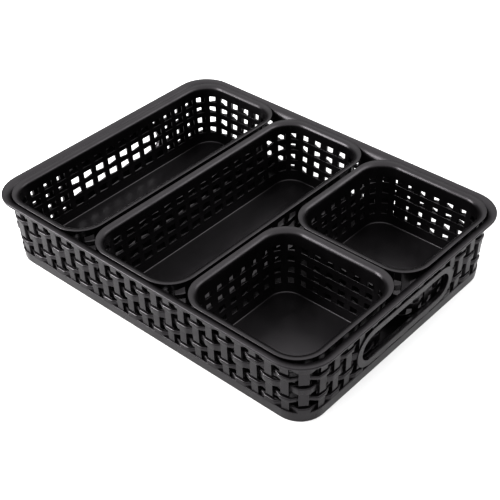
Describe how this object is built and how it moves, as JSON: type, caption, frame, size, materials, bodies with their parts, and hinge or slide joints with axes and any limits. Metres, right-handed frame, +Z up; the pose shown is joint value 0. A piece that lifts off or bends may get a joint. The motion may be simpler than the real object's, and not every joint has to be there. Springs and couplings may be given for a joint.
{
  "type": "storage basket set",
  "caption": "Shallow rectangular woven-look plastic tray with a handle slot in each end, holding loose woven-look baskets of two sizes that lift out, rim beside rim.",
  "frame": {"origin": "on the surface that the tray stands on, under the middle of the tray", "axes": "+X along the tray's long side towards the two small baskets, +Y across the tray towards its back, +Z up"},
  "size_m": [0.352, 0.2688, 0.0654],
  "materials": {
    "tray_plastic": "satin black moulded polypropylene",
    "bin_plastic": "satin black moulded polypropylene"
  },
  "bodies": {
    "tray": {"tray": "tray_plastic"},
    "long_bin_left": {"long_bin_left": "bin_plastic"},
    "long_bin_middle": {"long_bin_middle": "bin_plastic"},
    "small_bin_back": {"small_bin_back": "bin_plastic"},
    "small_bin_front": {"small_bin_front": "bin_plastic"}
  },
  "joints": [
    {"name": "long_bin_left_lift", "type": "slide", "parent": "tray", "child": "long_bin_left", "axis": [0, 0, 1], "range_m": [0, 0.075]},
    {"name": "long_bin_middle_lift", "type": "slide", "parent": "tray", "child": "long_bin_middle", "axis": [0, 0, 1], "range_m": [0, 0.075]},
    {"name": "small_bin_back_lift", "type": "slide", "parent": "tray", "child": "small_bin_back", "axis": [0, 0, 1], "range_m": [0, 0.075]},
    {"name": "small_bin_front_lift", "type": "slide", "parent": "tray", "child": "small_bin_front", "axis": [0, 0, 1], "range_m": [0, 0.075]}
  ]
}
